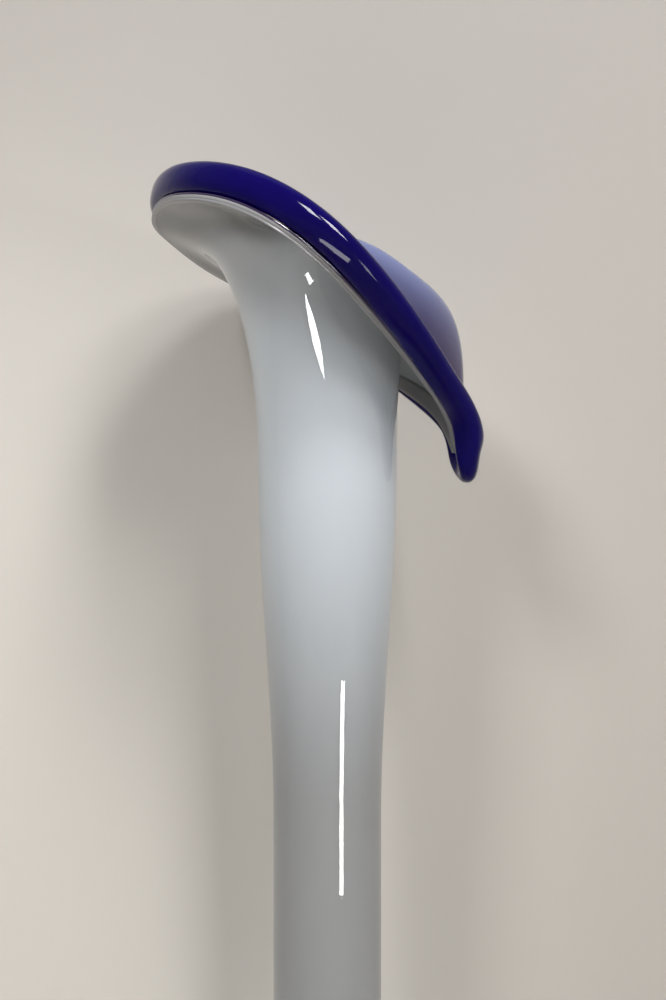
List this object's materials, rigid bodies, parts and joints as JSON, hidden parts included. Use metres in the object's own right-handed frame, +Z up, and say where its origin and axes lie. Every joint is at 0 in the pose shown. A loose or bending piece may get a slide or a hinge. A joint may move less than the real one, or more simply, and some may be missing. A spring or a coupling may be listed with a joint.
{
  "type": "trumpet vase",
  "caption": "Tall cased-glass trumpet vase: slender opal stem on a clear disc foot, flared lip high at the back and drooping to a point, edged with a fat cobalt roll.",
  "frame": {"origin": "centre of the foot's underside, on the surface that the vase stands on", "axes": "+Z up the stem, +X towards the lip's drooping point; the vase mirrors about the XZ plane"},
  "size_m": [0.1189, 0.134, 0.3963],
  "materials": {
    "clear_glass": "fire-polished, clear",
    "casing_glass": "fire-polished, clear layer over the opal",
    "opal_glass": "white opal, glossy",
    "lining_glass": "pale blue lining, glossy",
    "cobalt_glass": "dense cobalt blue, glossy"
  },
  "bodies": {
    "root": {"foot_disc": "clear_glass", "foot_wafer": "clear_glass", "clear_casing": "casing_glass", "opal_wall": "opal_glass", "blue_lining": "lining_glass", "lip_wrap": "cobalt_glass"}
  },
  "joints": []
}
